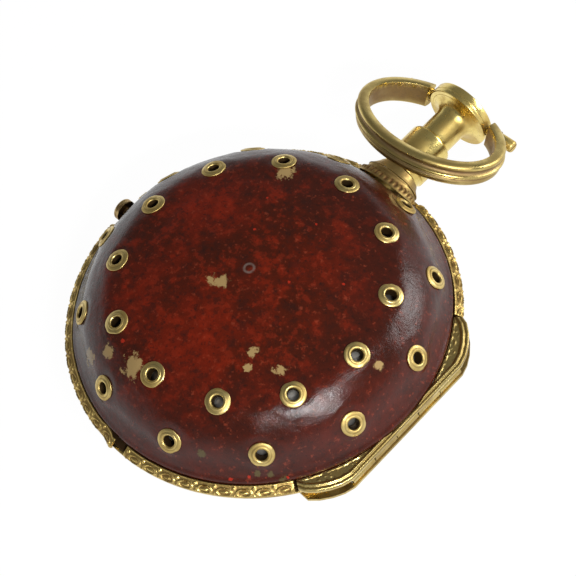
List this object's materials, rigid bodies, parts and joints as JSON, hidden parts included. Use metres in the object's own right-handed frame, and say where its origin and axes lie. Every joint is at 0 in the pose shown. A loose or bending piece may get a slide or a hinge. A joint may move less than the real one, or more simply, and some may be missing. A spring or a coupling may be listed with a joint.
{
  "type": "coach watch",
  "caption": "Large carriage watch with a leather-covered pierced domed back, stamped gilt rim, hinged outer case, push button, plunger pendant, swinging bow and a verge movement inside.",
  "frame": {"origin": "middle of the bounding box's base, which is the plane of the front ring that the watch lies on", "axes": "+Z out of the domed back, +Y towards the pendant and bow, +X towards the hinge of the outer case"},
  "size_m": [0.1196, 0.1536, 0.0442],
  "materials": {
    "leather": "aged, polished",
    "gilt_brass": "stamped, worn gilding",
    "worn_brass": "satin, tarnished",
    "movement_brass": "gilt, satin",
    "bell_metal": "turned",
    "silver": "satin silver",
    "steel": "polished",
    "blued_steel": "blued",
    "enamel": "fired enamel",
    "glass": "polished"
  },
  "bodies": {
    "front_case": {"outer_bezel": "gilt_brass", "bezel_hinge_leaf": "gilt_brass", "hinge_pin": "steel", "catch_spring": "steel", "collar_front": "gilt_brass", "pendant_sleeve": "worn_brass", "plunger_spring": "steel", "inner_case_bowl": "silver", "inner_bezel": "silver", "glass": "glass", "bell": "bell_metal", "bell_nut": "steel", "dial": "enamel", "pillar_plate": "movement_brass", "top_plate": "movement_brass", "plate_screw_1": "blued_steel", "plate_screw_2": "blued_steel", "plate_screw_3": "blued_steel", "plate_screw_4": "blued_steel", "mainspring_barrel": "movement_brass", "fusee_chain": "steel", "balance_cock": "movement_brass", "hairspring": "blued_steel", "regulator_disc": "silver"},
    "back": {"back_shell": "gilt_brass", "leather_cover": "leather", "rim_band_hinge_to_pendant": "gilt_brass", "rim_band_pendant_to_button": "gilt_brass", "rim_band_button_to_split": "gilt_brass", "rim_band_split_to_hinge": "gilt_brass", "back_hinge_lug": "gilt_brass", "collar_back": "gilt_brass"},
    "button": {"catch_button": "worn_brass"},
    "pendant": {"plunger": "worn_brass", "disc_head": "worn_brass", "bow_pin": "worn_brass", "repeat_rack": "steel"},
    "bow": {"bow": "gilt_brass"},
    "minute_hand": {"minute_hand": "blued_steel", "cannon_pinion": "steel"},
    "minute_wheel": {"minute_wheel": "movement_brass"},
    "hour_hand": {"hour_hand": "blued_steel", "hour_wheel": "movement_brass"},
    "contrate": {"contrate_wheel": "movement_brass"},
    "crown": {"crown_wheel": "movement_brass"},
    "third": {"third_wheel": "movement_brass"},
    "centre": {"centre_wheel": "movement_brass"},
    "fusee": {"fusee_great_wheel": "movement_brass"},
    "balance": {"balance_wheel": "movement_brass"},
    "repeat": {"repeat_wheel": "movement_brass"},
    "hammer": {"bell_hammer": "steel"}
  },
  "joints": [
    {"name": "back_hinge", "type": "hinge", "parent": "front_case", "child": "back", "pos_m": [0.0585, -0.01685, 0.0157], "axis": [0, 1, 0], "range_deg": [0, 100]},
    {"name": "catch_push", "type": "slide", "parent": "back", "child": "button", "axis": [1, 0, 0], "range_m": [0, 0.0008], "stiffness_N_per_m": 400},
    {"name": "pendant_push", "type": "slide", "parent": "front_case", "child": "pendant", "axis": [0, -1, 0], "range_m": [0, 0.005], "stiffness_N_per_m": 400},
    {"name": "bow_swing", "type": "hinge", "parent": "pendant", "child": "bow", "pos_m": [0.0015, 0.07465, 0.0202], "axis": [-1, 0, 0], "range_deg": [0, 290]},
    {"name": "minute_hand_turn", "type": "hinge", "parent": "front_case", "child": "minute_hand", "pos_m": [0.0015, -0.01685, 0.006], "axis": [0, 0, 1], "continuous": true},
    {"name": "minute_wheel_turn", "type": "hinge", "parent": "front_case", "child": "minute_wheel", "pos_m": [0.0015, -0.00695, 0.011], "axis": [0, 0, 1], "continuous": true},
    {"name": "hour_hand_turn", "type": "hinge", "parent": "front_case", "child": "hour_hand", "pos_m": [0.0015, -0.01685, 0.0075], "axis": [0, 0, 1], "continuous": true},
    {"name": "contrate_turn", "type": "hinge", "parent": "front_case", "child": "contrate", "pos_m": [0.0237, -0.00665, 0.017], "axis": [0, 0, 1], "continuous": true},
    {"name": "crown_turn", "type": "hinge", "parent": "front_case", "child": "crown", "pos_m": [0.0237, -0.01685, 0.02], "axis": [0, 1, 0], "continuous": true},
    {"name": "third_turn", "type": "hinge", "parent": "front_case", "child": "third", "pos_m": [0.01035, -0.00152, 0.019], "axis": [0, 0, 1], "continuous": true},
    {"name": "centre_turn", "type": "hinge", "parent": "front_case", "child": "centre", "pos_m": [0.0015, -0.01685, 0.0165], "axis": [0, 0, 1], "continuous": true},
    {"name": "fusee_turn", "type": "hinge", "parent": "front_case", "child": "fusee", "pos_m": [-0.01626, -0.02331, 0.015], "axis": [0, 0, 1], "continuous": true},
    {"name": "balance_swing", "type": "hinge", "parent": "front_case", "child": "balance", "pos_m": [0.0237, -0.02885, 0.0297], "axis": [0, 0, 1], "range_deg": [-100, 100], "stiffness_Nm_per_rad": 0.00003},
    {"name": "repeat_turn", "type": "hinge", "parent": "front_case", "child": "repeat", "pos_m": [-0.0068, 0.02115, 0.0201], "axis": [0, 0, 1], "range_deg": [-50, 0]},
    {"name": "hammer_swing", "type": "hinge", "parent": "front_case", "child": "hammer", "pos_m": [0.0345, -0.03885, 0.0238], "axis": [0, 0, 1], "range_deg": [-2.5, 0], "stiffness_Nm_per_rad": 0.01}
  ],
  "couplings": [
    {"joint": "minute_wheel_turn", "follows": "minute_hand_turn", "ratio": -0.33333},
    {"joint": "hour_hand_turn", "follows": "minute_hand_turn", "ratio": 0.083333},
    {"joint": "crown_turn", "follows": "contrate_turn", "ratio": 5},
    {"joint": "third_turn", "follows": "contrate_turn", "ratio": -0.16667},
    {"joint": "centre_turn", "follows": "contrate_turn", "ratio": 0.027778},
    {"joint": "fusee_turn", "follows": "contrate_turn", "ratio": -0.0046296},
    {"joint": "repeat_turn", "follows": "pendant_push", "rad_per_m": -166.67}
  ]
}
